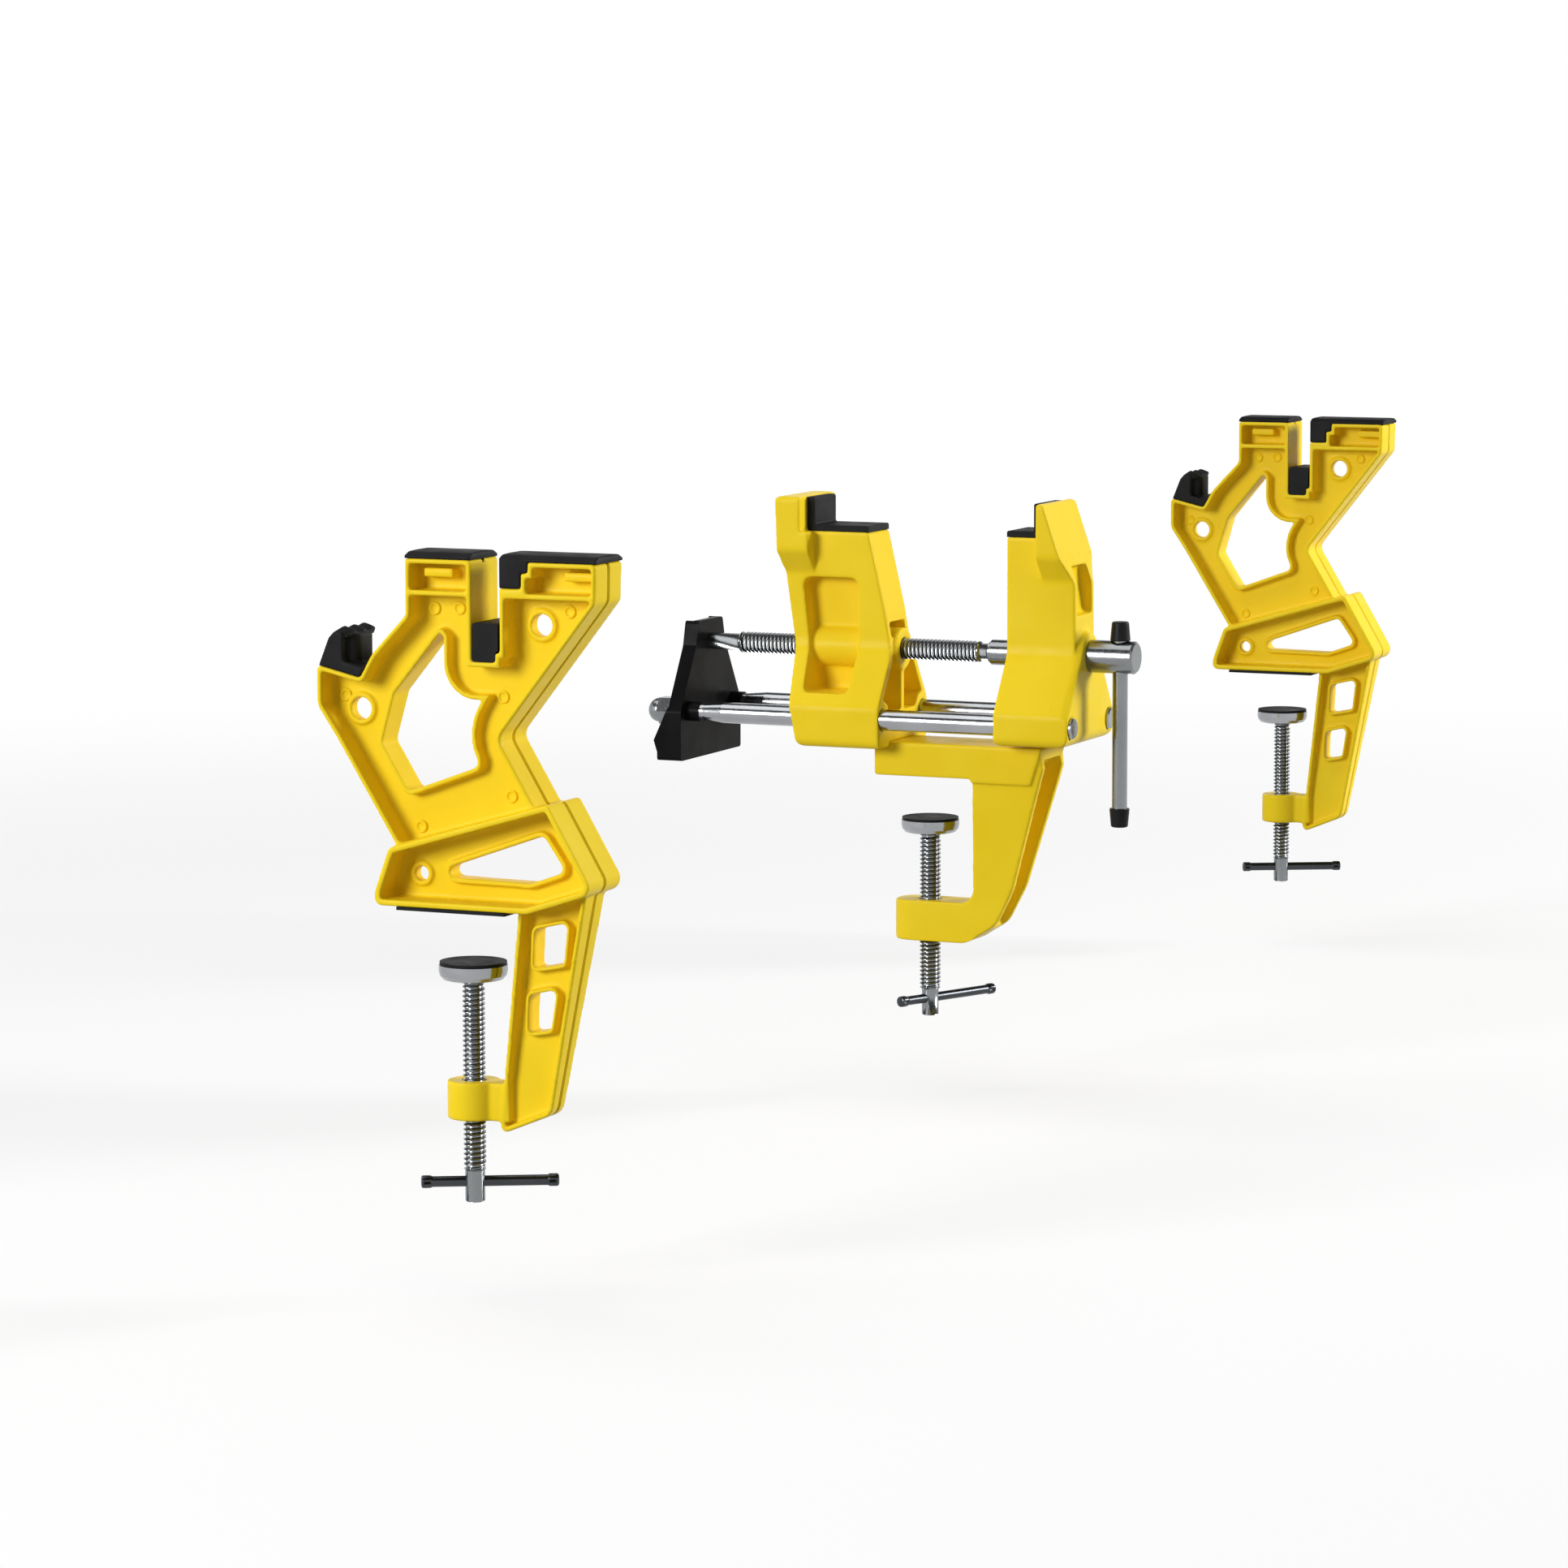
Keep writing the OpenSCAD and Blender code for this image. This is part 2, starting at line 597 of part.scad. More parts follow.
// Fixed jaw: same front view, a hollow front and ribbed sides, with bosses for the spindle and the rods
rear_front_y = 41.5;
rear_ledge_y = 54;
rear_low = base_h - 2.5;
rear_side = [
    [rear_front_y, rear_low, 1], [84, rear_low, 4], [88, foot_top, 12], [rear_head_y + 12, ledge_h - 14, 12],
    [rear_head_y + 13, head_top, 2], [rear_head_y, head_top, 1], [rear_head_y, ledge_h, 0],
    [rear_ledge_y, ledge_h, 1.5], [rear_front_y + 4.1, spindle_z + 19.4, 20],
    [rear_front_y, spindle_z - 4, 10]
];
module rear_jaw() {
    wall = 4;
    pocket_d = 14;
    boss = spindle_d / 2 + 5;
    rod_boss = rod_d / 2 + wall;
    side_y = rear_front_y + pocket_d + wall;
    color(paint) from_edge() difference() {
        union() {
            intersection() {
                union() {
                    face_plate(rear_pad_y, rear_head_y + 20) polygon(rounded(jaw_head));
                    face_plate(rear_front_y - 1, rear_head_y + 20) polygon(rounded(jaw_column(rear_low)));
                }
                side_plate(2 * foot_x + 2) polygon(rounded(rear_side));
            }
            translate([0, 0, spindle_z]) y_bar(boss, rear_front_y - 1, side_y);
        }
        translate([-base_t / 2, 0, 0]) cube([base_t, block_end, base_h]);
        face_plate(rear_front_y - 2, rear_front_y + pocket_d) difference() {
            intersection() {
                polygon(rounded(inset(jaw_column(rear_low), wall)));
                translate([-foot_x, foot_top - 3]) square([2 * foot_x, spindle_z - foot_top + boss + 6]);
            }
            translate([0, spindle_z]) circle(boss);
            for (s = [-1, 1]) translate([s * rod_x, rod_z]) circle(rod_boss);
            translate([-wall / 2, 0]) square([wall, spindle_z]);
        }
        for (s = [-1, 1]) difference() {
            translate([s * (column_x + 3), 0, 0]) side_plate(2 * column_x) polygon(rounded([
                [side_y, foot_top + 6, 3], [82, foot_top + 6, 3], [88, ledge_h - 22, 4],
                [side_y, ledge_h - 22, 4]
            ]));
            translate([0, 0, spindle_z]) y_bar(boss, 0, 120);
        }
        translate([0, 0, spindle_z]) y_bar(spindle_d / 2 + run_gap, 0, 130);
        for (s = [-1, 1]) translate([s * rod_x, 0, rod_z]) y_bar(rod_d / 2 + run_gap, 0, 130);
    }
}

// Guide rod, tapered at its rear end, with a thinner stud for its nut
module guide_rod() {
    front = front_face_y - 1.4;
    step = bracket_y - collar_l;
    end = bracket_y + bracket_t + washer_t + 11;
    color(steel) from_edge() translate([0, 0, rod_z]) y_turned([
        [0, front], [rod_d / 2 - 0.6, front], [rod_d / 2, front + 0.6], [rod_d / 2, step - 12],
        [stud_r + 0.6, step - 2], [stud_r + 0.6, step], [stud_r, step], [stud_r, end], [0, end]
    ]);
}
module rod_collar() {
    color("dimgray") from_edge() translate([0, 0, rod_z]) difference() {
        y_bar(stud_r + 1.25, bracket_y - collar_l, bracket_y);
        y_bar(stud_r, bracket_y - collar_l - 1, bracket_y + 1);
    }
}
module rod_washer() {
    y0 = bracket_y + bracket_t;
    color(steel) from_edge() translate([0, 0, rod_z]) difference() {
        y_bar(stud_r + 3.9, y0, y0 + washer_t);
        y_bar(stud_r, y0 - 1, y0 + washer_t + 1);
    }
}
// Domed nut on a guide rod's stud
module rod_nut() {
    y0 = bracket_y + bracket_t + washer_t;
    flat = 2 * stud_r + 5.6;
    hex_h = 10;
    nut_h = 16.4;
    dome_r = flat / 2 - 0.4;
    color(steel) from_edge() translate([0, y0, rod_z]) difference() {
        union() {
            rotate([-90, 0, 0]) cylinder(d = flat / cos(30), h = hex_h, $fn = 6);
            y_turned(rounded([
                [0, hex_h - 1, 0], [dome_r, hex_h - 1, 0], [dome_r, nut_h, dome_r - 0.5], [0, nut_h, 0]
            ]));
        }
        y_bar(stud_r, -1, 11);
    }
}
bracket_low = 4;
bracket_top = spindle_z + 10.7;
bracket_x = foot_x + 4;
bracket_outline = [
    [-bracket_x, bracket_low, 1.5], [bracket_x, bracket_low, 1.5], [bracket_x, rod_z + 0.6, 3],
    [rod_x - 8, spindle_z - 1.3, 3], [rod_x - 11, bracket_top, 2], [11 - rod_x, bracket_top, 2],
    [8 - rod_x, spindle_z - 1.3, 3], [-bracket_x, rod_z + 0.6, 3]
];
// Depth of the bracket's bent sides at heights above its lower edge
bracket_depth = [[12.7, 0], [12.7, 4], [13.2, 5.5], [14.5, 9.7], [10.8, 17.8], [7, 26], [7, 70]];
// Sheet metal bracket across the rods' rear ends, with its side edges bent back
module rear_bracket() {
    fold = 1.5;
    bend_h = 3;
    color("#262626") from_edge() difference() {
        union() {
            face_plate(bracket_y, bracket_y + bracket_t) polygon(rounded(bracket_outline));
            intersection() {
                face_plate(bracket_y, bracket_y + 20) difference() {
                    ring(bracket_outline, fold);
                    translate([11 - rod_x + 1, bracket_top - 10]) square([2 * rod_x - 24, 20]);
                    translate([2 - bracket_x, 0]) square([2 * bracket_x - 4, bracket_low + bend_h]);
                }
                side_plate(4 * foot_x) polygon(concat(
                    [for (d = bracket_depth) [bracket_y + d[0], bracket_low + d[1]]],
                    [[bracket_y, bracket_low + 70], [bracket_y, bracket_low]]
                ));
            }
        }
        translate([0, 0, spindle_z]) y_bar(neck_r + run_gap, bracket_y - 1, bracket_y + bracket_t + 1);
        for (s = [-1, 1]) translate([s * rod_x, 0, rod_z])
            y_bar(stud_r, bracket_y - 1, bracket_y + bracket_t + 1);
    }
}

// Main screw: thread, plain front journal through the jaw and rear neck through the bracket
module main_spindle() {
    r = spindle_d / 2;
    end = bracket_y + bracket_t + 3.5;
    color(steel) from_edge() translate([0, 0, spindle_z]) y_turned([
        [0, front_face_y - end_gap], [r, front_face_y - end_gap], [r, ledge_end_y + 13],
        [r - 1, ledge_end_y + 14], [r - 1, 0.6], [r, 1.6], [r, bracket_y - 17], [neck_r, bracket_y - 16],
        [neck_r, end], [0, end]
    ]);
}
module spindle_collar() {
    color(steel) from_edge() translate([0, 0, spindle_z]) difference() {
        y_bar(spindle_d / 2 + 1, ledge_end_y + end_gap, ledge_end_y + 11.9);
        y_bar(spindle_d / 2, ledge_end_y - 1, ledge_end_y + 14);
    }
}
module spindle_clip() {
    y0 = bracket_y + bracket_t + end_gap;
    color(steel) from_edge() translate([0, 0, spindle_z]) difference() {
        y_bar(neck_r + 2.5, y0, y0 + 1.5);
        y_bar(neck_r, y0 - 1, y0 + 3);
    }
}
// Hub on the spindle's front end, with a cross hole for the handle bar
module spindle_hub() {
    y0 = front_face_y - end_gap;
    color(steel) from_edge() difference() {
        translate([0, 0, spindle_z]) y_turned([
            [0, y0 - hub_l], [hub_d / 2 - 1, y0 - hub_l], [hub_d / 2, y0 - hub_l + 1], [hub_d / 2, y0],
            [0, y0]
        ]);
        translate([0, hub_bar_y, spindle_z])
            cylinder(d = handle_d + 2 * run_gap, h = 2 * hub_d, center = true);
    }
}
// Handle bar, hanging with its upper cap on the hub
handle_top = spindle_z + hub_d / 2 + end_gap;
module handle_bar() {
    color(steel) from_edge() translate([0, hub_bar_y, handle_top - handle_l - cap_depth])
        cylinder(d = handle_d, h = handle_l + 2 * cap_depth);
}
module handle_cap() {
    difference() {
        rotate_extrude() polygon(rounded([
            [0, 0, 0], [handle_d / 2 + 1.2, 0, 0.4], [handle_d / 2 + 0.4, cap_l, 1], [0, cap_l, 0]
        ]));
        translate([0, 0, -1]) cylinder(d = handle_d, h = cap_depth + 1);
    }
}
module upper_handle_cap() {
    color(rubber) from_edge() translate([0, hub_bar_y, handle_top]) handle_cap();
}
module lower_handle_cap() {
    color(rubber) from_edge() translate([0, hub_bar_y, handle_top - handle_l]) mirror([0, 0, 1]) handle_cap();
}

module end_screw() { at_end_screw() clamp_screw(end_screw_d, end_screw_l); }
module end_bar() { at_end_screw() cross_bar(end_bar_l, end_screw_l, -6); }
module centre_screw() { at_centre_screw() clamp_screw(centre_screw_d, centre_screw_l); }
module centre_bar() { at_centre_screw() cross_bar(centre_bar_l, centre_screw_l, -11); }
module at_left() { translate([-left_x, 0, 0]) children(); }
module at_right() { translate([right_x, 0, 0]) children(); }

at_left() casting();  // left_casting
at_left() front_pad();  // left_front_pad
at_left() rear_pad();  // left_rear_pad
at_left() slot_rubber();  // left_slot_rubber
at_left() hook_rubber();  // left_hook_rubber
at_left() bench_pad();  // left_bench_pad
at_left() end_screw();  // left_clamp_spindle
at_left() end_bar();  // left_clamp_bar
at_left() at_end_screw() clamp_disc(end_screw_d);  // left_clamp_disc
at_left() at_end_screw() disc_pad();  // left_disc_pad
at_right() casting();  // right_casting
at_right() front_pad();  // right_front_pad
at_right() rear_pad();  // right_rear_pad
at_right() slot_rubber();  // right_slot_rubber
at_right() hook_rubber();  // right_hook_rubber
at_right() bench_pad();  // right_bench_pad
at_right() end_screw();  // right_clamp_spindle
at_right() end_bar();  // right_clamp_bar
at_right() at_end_screw() clamp_disc(end_screw_d);  // right_clamp_disc
at_right() at_end_screw() disc_pad();  // right_disc_pad
base_frame();
centre_screw();  // centre_clamp_spindle
centre_bar();  // centre_clamp_bar
clamp_disc(centre_screw_d);  // centre_clamp_disc
disc_pad();  // centre_disc_pad
rear_jaw();
rear_jaw_pad();
front_jaw();
front_jaw_pad();
translate([-rod_x, 0, 0]) guide_rod();  // left_guide_rod
translate([rod_x, 0, 0]) guide_rod();  // right_guide_rod
translate([-rod_x, 0, 0]) rod_collar();  // left_rod_collar
translate([rod_x, 0, 0]) rod_collar();  // right_rod_collar
translate([-rod_x, 0, 0]) rod_washer();  // left_rod_washer
translate([rod_x, 0, 0]) rod_washer();  // right_rod_washer
translate([-rod_x, 0, 0]) rod_nut();  // left_rod_nut
translate([rod_x, 0, 0]) rod_nut();  // right_rod_nut
rear_bracket();
main_spindle();
spindle_collar();
spindle_clip();
spindle_hub();
handle_bar();
upper_handle_cap();
lower_handle_cap();
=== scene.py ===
# Ski tuning vise set: looks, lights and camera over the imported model.
import bpy
import bmesh
import json
import math
import numpy as np
from mathutils import Vector, Matrix
from mathutils.bvhtree import BVHTree


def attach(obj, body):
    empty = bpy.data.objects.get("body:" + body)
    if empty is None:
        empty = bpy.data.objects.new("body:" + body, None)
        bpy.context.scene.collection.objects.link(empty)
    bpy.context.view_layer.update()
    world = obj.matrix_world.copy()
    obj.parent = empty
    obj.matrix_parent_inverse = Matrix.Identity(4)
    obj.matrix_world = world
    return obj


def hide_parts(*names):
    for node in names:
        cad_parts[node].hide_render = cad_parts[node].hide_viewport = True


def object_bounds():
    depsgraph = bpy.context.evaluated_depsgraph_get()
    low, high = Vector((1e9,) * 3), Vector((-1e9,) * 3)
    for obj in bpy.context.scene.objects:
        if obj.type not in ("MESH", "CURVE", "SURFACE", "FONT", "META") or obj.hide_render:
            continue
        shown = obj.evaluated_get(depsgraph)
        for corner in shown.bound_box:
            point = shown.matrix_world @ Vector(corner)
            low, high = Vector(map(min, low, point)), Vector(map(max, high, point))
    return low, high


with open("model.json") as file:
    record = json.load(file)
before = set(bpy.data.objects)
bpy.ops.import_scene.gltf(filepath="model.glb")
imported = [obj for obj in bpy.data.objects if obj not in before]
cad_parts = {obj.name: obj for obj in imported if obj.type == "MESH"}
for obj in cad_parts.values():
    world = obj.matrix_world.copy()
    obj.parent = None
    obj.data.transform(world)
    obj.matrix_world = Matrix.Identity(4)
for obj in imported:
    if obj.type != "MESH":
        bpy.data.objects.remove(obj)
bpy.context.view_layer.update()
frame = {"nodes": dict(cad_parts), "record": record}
nodes = frame["nodes"]
scene = bpy.context.scene
MM = 0.001
EDGE_Y = 27.2          # the bench's edge lies this far in front of the origin, in mm
LEFT_X = -488.0
RIGHT_X = 514.5
PITCH = 2.0            # pitch of every screw
SPINDLE_Z = 59.3       # height of the main spindle
SIDES = ("left", "right")
SUPPORTS = tuple(zip(SIDES, (LEFT_X, RIGHT_X)))


# ---------------------------------------------------------------- materials

NOISE_RANGE = (0.3, 0.7)    # most of a noise texture's values lie in it


def new_material(name, base, rough, metal=0.0, spec=0.5):
    m = bpy.data.materials.new(name)
    m.use_nodes = True
    b = m.node_tree.nodes["Principled BSDF"]
    b.inputs["Base Color"].default_value = (*base, 1)
    b.inputs["Roughness"].default_value = rough
    b.inputs["Metallic"].default_value = metal
    b.inputs["Specular IOR Level"].default_value = spec
    return m, b


def noise(m, scale, detail):
    """A noise texture in the object's own metres."""
    t = m.node_tree
    c = t.nodes.new("ShaderNodeTexCoord")
    n = t.nodes.new("ShaderNodeTexNoise")
    n.inputs["Scale"].default_value = scale
    n.inputs["Detail"].default_value = detail
    n.inputs["Roughness"].default_value = 0.5
    t.links.new(c.outputs["Object"], n.inputs["Vector"])
    return n


def ramp(m, source, stops):
    """A colour ramp with stops (position, colour)."""
    r = m.node_tree.nodes.new("ShaderNodeValToRGB")
    e = r.color_ramp.elements
    e[0].position, e[0].color = stops[0][0], (*stops[0][1], 1)
    e[1].position, e[1].color = stops[-1][0], (*stops[-1][1], 1)
    for p, col in stops[1:-1]:
        x = e.new(p)
        x.color = (*col, 1)
    m.node_tree.links.new(source, r.inputs["Fac"])
    return r


def span(m, source, low, high):
    """A noise value spread between low and high."""
    r = m.node_tree.nodes.new("ShaderNodeMapRange")
    r.inputs["From Min"].default_value, r.inputs["From Max"].default_value = NOISE_RANGE
    r.inputs["To Min"].default_value = low
    r.inputs["To Max"].default_value = high
    m.node_tree.links.new(source, r.inputs["Value"])
    return r


def bumps(m, b, layers):
    """Chained bump nodes: (height output, strength, distance in metres)."""
    t = m.node_tree
    last = None
    for h, strength, dist in layers:
        n = t.nodes.new("ShaderNodeBump")
        n.inputs["Strength"].default_value = strength
        n.inputs["Distance"].default_value = dist
        t.links.new(h, n.inputs["Height"])
        if last:
            t.links.new(last.outputs["Normal"], n.inputs["Normal"])
        last = n
    t.links.new(last.outputs["Normal"], b.inputs["Normal"])


def paint_material():
    m, b = new_material("Yellow_paint", (0.90, 0.645, 0.018), 0.36, spec=0.07)
    t = m.node_tree
    broad = noise(m, 26, 3)
    col = ramp(m, broad.outputs["Fac"], [
        (0.3, (0.88, 0.63, 0.014)), (0.52, (0.91, 0.66, 0.018)), (0.75, (0.93, 0.69, 0.026))])
    t.links.new(col.outputs["Color"], b.inputs["Base Color"])
    fine = noise(m, 700, 2)
    gloss = span(m, noise(m, 90, 3).outputs["Fac"], 0.27, 0.42)
    t.links.new(gloss.outputs["Result"], b.inputs["Roughness"])
    bumps(m, b, [(noise(m, 150, 2).outputs["Fac"], 0.25, 0.0003), (fine.outputs["Fac"], 0.16, 0.00012)])
    return m


def rubber_material(name, base, rough):
    m, b = new_material(name, base, rough, spec=0.09)
    t = m.node_tree
    col = ramp(m, noise(m, 60, 4).outputs["Fac"], [
        (0.3, tuple(v * 0.75 for v in base)), (0.7, tuple(v * 1.5 for v in base))])
    t.links.new(col.outputs["Color"], b.inputs["Base Color"])
    gloss = span(m, noise(m, 120, 3).outputs["Fac"], rough - 0.08, rough + 0.1)
    t.links.new(gloss.outputs["Result"], b.inputs["Roughness"])
    bumps(m, b, [(noise(m, 1100, 2).outputs["Fac"], 0.3, 0.00012)])
    return m


def steel_material(name, base, rough, lines=0.10):
    m, b = new_material(name, base, rough, metal=1.0)
    t = m.node_tree
    brushed = noise(m, 900, 2)
    cloud = noise(m, 45, 3)
    col = ramp(m, cloud.outputs["Fac"], [
        (0.3, tuple(v * 0.88 for v in base)), (0.7, tuple(min(v * 1.06, 1) for v in base))])
    t.links.new(col.outputs["Color"], b.inputs["Base Color"])
    gloss = span(m, brushed.outputs["Fac"], rough * 0.75, rough * 1.35)
    t.links.new(gloss.outputs["Result"], b.inputs["Roughness"])
    bumps(m, b, [(brushed.outputs["Fac"], lines, 0.00005)])
    return m


def sheet_material():
    m, b = new_material("Black_sheet", (0.005, 0.005, 0.006), 0.34, spec=0.04)
    t = m.node_tree
    gloss = span(m, noise(m, 80, 3).outputs["Fac"], 0.26, 0.44)
    t.links.new(gloss.outputs["Result"], b.inputs["Roughness"])
    col = ramp(m, noise(m, 40, 3).outputs["Fac"], [
        (0.3, (0.0035, 0.0035, 0.004)), (0.7, (0.007, 0.007, 0.008))])
    t.links.new(col.outputs["Color"], b.inputs["Base Color"])
    bumps(m, b, [(noise(m, 600, 2).outputs["Fac"], 0.22, 0.00012)])
    return m


PAINT = paint_material()
RUBBER = rubber_material("Black_rubber", (0.009, 0.009, 0.010), 0.55)
CAP = rubber_material("Cap_plastic", (0.010, 0.010, 0.011), 0.36)
ZINC = steel_material("Zinc_steel", (0.25, 0.262, 0.27), 0.20)
CHROME = steel_material("Chrome_steel", (0.35, 0.36, 0.375), 0.16, lines=0.05)
BAR_STEEL = steel_material("Bar_steel", (0.060, 0.064, 0.070), 0.22, lines=0.05)
SHEET = sheet_material()
SLOT_MATERIAL = {
    "yellow_paint": PAINT, "black_rubber": RUBBER, "zinc_steel": ZINC,
    "chrome_steel": CHROME, "black_sheet": SHEET, "cap_plastic": CAP,
}
SLOT_OF = {p["node"]: p["material_slot"] for p in frame["record"]["subparts"]}
BODY_OF = {n: b for b, names in frame["record"]["behaviour"]["bodies"].items() for n in names}


# ---------------------------------------------------------------- helpers

def dress(obj, material):
    obj.data.materials.clear()
    obj.data.materials.append(material)


def shade(obj, angle=None):
    for p in obj.data.polygons:
        p.use_smooth = True
    if angle is not None:
        obj.data.set_sharp_from_angle(angle=math.radians(angle))


def link(name, mesh, node, material=None):
    """A new object that stands for a CAD node, on its body and in its material slot."""
    o = bpy.data.objects.new(name, mesh)
    scene.collection.objects.link(o)
    dress(o, material or SLOT_MATERIAL[SLOT_OF[node]])
    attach(o, BODY_OF[node])
    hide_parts(node)
    return o


def node_bmesh(node):
    """The node's mesh in the row frame, with flat faces joined."""
    bm = bmesh.new()
    bm.from_mesh(nodes[node].data)
    bmesh.ops.remove_doubles(bm, verts=bm.verts, dist=1e-6)
    bmesh.ops.dissolve_limit(bm, angle_limit=math.radians(0.6), verts=bm.verts, edges=bm.edges)
    return bm


def apply_modifiers(mesh, setup):
    """Runs modifiers on a bare mesh and returns the resulting mesh."""
    tmp = bpy.data.objects.new("tmp", mesh)
    scene.collection.objects.link(tmp)
    setup(tmp)
    dg = bpy.context.evaluated_depsgraph_get()
    out = bpy.data.meshes.new_from_object(tmp.evaluated_get(dg))
    bpy.data.objects.remove(tmp)
    return out


def points(mesh):
    """The mesh's vertices in an array, one row each."""
    co = np.empty(len(mesh.vertices) * 3)
    mesh.vertices.foreach_get("co", co)
    return co.reshape(-1, 3)


def set_points(mesh, co):
    mesh.vertices.foreach_set("co", co.ravel())
    mesh.update()


def smooth_step(v):
    v = np.clip(v, 0, 1)
    return v * v * (3 - 2 * v)


# ---------------------------------------------------------------- castings

GROWTH = 0.7           # share of the way that a corner moves in one round


def fill_corners(mesh, radius, rounds):
    """Grows the mesh in its inner corners until they have about the given radius."""
    co = points(mesh)
    n = len(co)
    e = np.empty(len(mesh.edges) * 2, dtype=np.int64)
    mesh.edges.foreach_get("vertices", e)
    a, b = e[0::2], e[1::2]
    count = np.bincount(a, minlength=n) + np.bincount(b, minlength=n)
    count = np.maximum(count, 1)
    quads = np.array([p.vertices[:] if len(p.vertices) == 4 else (*p.vertices[:], p.vertices[2])
                      for p in mesh.polygons], dtype=np.int64)
    step = np.sqrt((np.linalg.norm(co[a] - co[b], axis=1) ** 2).mean())
    limit = step * step / (4 * radius)
    for _ in range(rounds):
        lap = np.empty_like(co)
        for k in range(3):
            lap[:, k] = np.bincount(a, co[b, k], n) + np.bincount(b, co[a, k], n)
        lap = lap / count[:, None] - co
        face = np.cross(co[quads[:, 2]] - co[quads[:, 0]], co[quads[:, 3]] - co[quads[:, 1]])
        nor = np.zeros_like(co)
        for k in range(3):
            for c in range(4):
                nor[:, k] += np.bincount(quads[:, c], face[:, k], n)
        nor /= np.maximum(np.linalg.norm(nor, axis=1), 1e-12)[:, None]
        grow = np.maximum((lap * nor).sum(1) - limit, 0)
        co += nor * grow[:, None] * GROWTH
    set_points(mesh, co)


def soften(mesh, rounds):
    """A few rounds of plain smoothing."""
    def setup(o):
        s = o.modifiers.new("s", "SMOOTH")
        s.factor = 0.5
        s.iterations = rounds
    return apply_modifiers(mesh, setup)


def cast(node, voxel, rounds, extra=None):
    """A copy of the node with the soft edges of a casting."""
    bm = node_bmesh(node)
    if extra:
        extra(bm)
    bmesh.ops.triangulate(bm, faces=bm.faces)
    me = bpy.data.meshes.new(node + "_m")
    bm.to_mesh(me)
    bm.free()

    def setup(o):
        r = o.modifiers.new("r", "REMESH")
        r.mode = "VOXEL"
        r.voxel_size = voxel
        s = o.modifiers.new("s", "SMOOTH")
        s.factor = 0.5
        s.iterations = rounds
    return apply_modifiers(me, setup)


WEB_HALF = 1.5         # half the web of a support, in mm
EJECTOR_MARKS = [      # (y behind the bench's edge, z) of each mark
    (39.2, 120.0), (28.2, 120.4), (-20.4, 120.6), (9.1, 85.8), (5.8, 46.3), (79.6, 83.9), (46.1, 32.3)]
MARK_SHAPE = [         # (radius, height over the web) of a mark's section
    (2.9, -0.6), (2.75, 0.2), (2.5, 0.75), (2.15, 0.95), (1.8, 0.85), (1.5, 0.4), (1.2, 0.25), (0.0, 0.25)]
MARK_SEGMENTS = 24


def add_marks(mesh, cx):
    """Round marks of the ejector pins on both faces of the web."""
    bm = bmesh.new()
    bm.from_mesh(mesh)
    seg = MARK_SEGMENTS
    for y, z in EJECTOR_MARKS:
        for s in (-1, 1):
            rings = []
            for r, h in MARK_SHAPE:
                x = (cx + s * (WEB_HALF + h)) * MM
                ring = []
                for k in range(seg if r else 1):
                    a = 2 * math.pi * k / seg
                    ring.append(bm.verts.new(
                        (x, (y - EDGE_Y + r * math.cos(a)) * MM, (z + r * math.sin(a)) * MM)))
                rings.append(ring)
            for one, two in zip(rings, rings[1:]):
                for k in range(seg):
                    n = (k + 1) % seg
                    tip = [two[n], two[k]] if len(two) > 1 else [two[0]]
                    loop = [one[k], one[n]] + tip
                    bm.faces.new(loop if s > 0 else loop[::-1])
    bm.to_mesh(mesh)
    bm.free()


GROOVE_HALF = 0.0017
GROOVE_DEPTH = 0.0023
GROOVE_CUTS = (-2.2, -1, -0.45, 0.45, 1, 2.2)    # edge loops across the groove, in half widths
LIFT = 0.0008          # a ray starts this far over its face
LONGEST_RAY = 0.3


def groove(mesh, cx):
    """Sinks a parting groove round the outer faces, in the plane X = cx."""
    half = GROOVE_HALF
    bm = bmesh.new()
    bm.from_mesh(mesh)
    tree = BVHTree.FromBMesh(bm)
    for off in (c * half for c in GROOVE_CUTS):
        near = [f for f in bm.faces if abs(f.calc_center_median().x - cx) < 3 * MM]
        geom = near + list({e for f in near for e in f.edges}) + list({v for f in near for v in f.verts})
        bmesh.ops.bisect_plane(
            bm, geom=geom, plane_co=(cx + off, 0, 0), plane_no=(1, 0, 0), dist=1e-7)
    bm.normal_update()
    for v in bm.verts:
        if abs(v.co.x - cx) < half * 0.6 and abs(v.normal.x) < 0.5:
            n = Vector((0, v.normal.y, v.normal.z))
            if n.length < 0.3:
                continue
            n.normalize()
            hit = tree.ray_cast(v.co + n * LIFT, n, LONGEST_RAY)
            if hit[0] is None:     # nothing lies outside, so this is an outer face
                v.co -= n * GROOVE_DEPTH
    bm.to_mesh(mesh)
    bm.free()


SUPPORT_FILLET = 0.0014
VOXEL = 0.0006
RUBBER_VOXEL = 0.0005
EDGE_ROUNDS = 6
FILL_ROUNDS = 45
for side, cx in SUPPORTS:
    node = side + "_casting"
    me = cast(node, VOXEL, EDGE_ROUNDS)
    fill_corners(me, SUPPORT_FILLET, FILL_ROUNDS // 3)
    me = soften(me, 2)
    groove(me, cx * MM)
    add_marks(me, cx)
    shade(link(side + "_support_cast", me, node))


RING_R = 11.5          # ring round the main spindle on the front jaw
BELL_LOW = (30, 32)    # (z, half width) where the bell is widest
FACE_Y = -51.4         # y of the front jaw's plain face
RAISE = 3.1            # height of the bell over it
FACE_STEP = (          # the solid's own face, (z, y)
    (SPINDLE_Z - 4, FACE_Y - RAISE), (SPINDLE_Z + 8, FACE_Y), (94, -51.1))
BELL_EDGE = 2.4        # width of the slope round the bell


